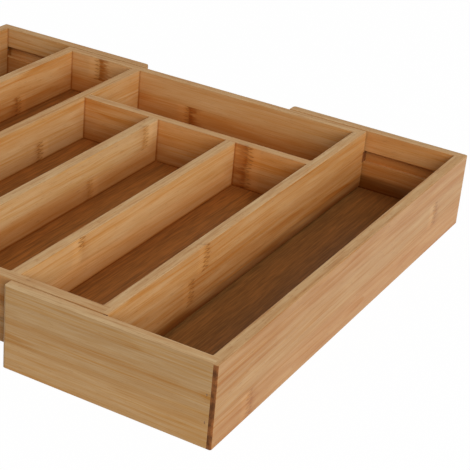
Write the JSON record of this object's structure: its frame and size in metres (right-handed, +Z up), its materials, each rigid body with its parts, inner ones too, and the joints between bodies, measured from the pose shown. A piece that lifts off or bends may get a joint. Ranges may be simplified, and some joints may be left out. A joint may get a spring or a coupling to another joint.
{
  "type": "expandable cutlery tray",
  "caption": "Bamboo cutlery tray with open slots and a wide rear compartment; a tray on each side slides out on a rail to widen it.",
  "frame": {"origin": "On the table, under the middle of the tray as it stands pulled out in the picture.", "axes": "+X to the right along the pull of the trays, +Y from the front to the back, +Z up."},
  "size_m": [0.496, 0.43, 0.065],
  "materials": {
    "bamboo_board": "satin lacquer",
    "bamboo_panel": "satin lacquer",
    "brad_steel": "dull"
  },
  "bodies": {
    "centre_tray": {"centre_front_board": "bamboo_board", "centre_back_board": "bamboo_board", "centre_left_wall": "bamboo_board", "centre_right_wall": "bamboo_board", "centre_floor": "bamboo_panel", "centre_long_divider": "bamboo_board", "centre_cross_divider": "bamboo_board", "centre_short_divider_1": "bamboo_board", "centre_short_divider_2": "bamboo_board", "centre_front_rail": "bamboo_board", "centre_back_rail": "bamboo_board", "centre_brads": "brad_steel"},
    "left_tray": {"left_tray_front_board": "bamboo_board", "left_tray_back_board": "bamboo_board", "left_tray_side_wall": "bamboo_board", "left_tray_floor": "bamboo_panel", "left_tray_brads": "brad_steel"},
    "right_tray": {"right_tray_front_board": "bamboo_board", "right_tray_back_board": "bamboo_board", "right_tray_side_wall": "bamboo_board", "right_tray_floor": "bamboo_panel", "right_tray_brads": "brad_steel"}
  },
  "joints": [
    {"name": "right_slide", "type": "slide", "parent": "centre_tray", "child": "right_tray", "axis": [1, 0, 0], "range_m": [-0.081, 0.03]},
    {"name": "left_slide", "type": "slide", "parent": "centre_tray", "child": "left_tray", "axis": [-1, 0, 0], "range_m": [-0.0745, 0.0365]}
  ]
}
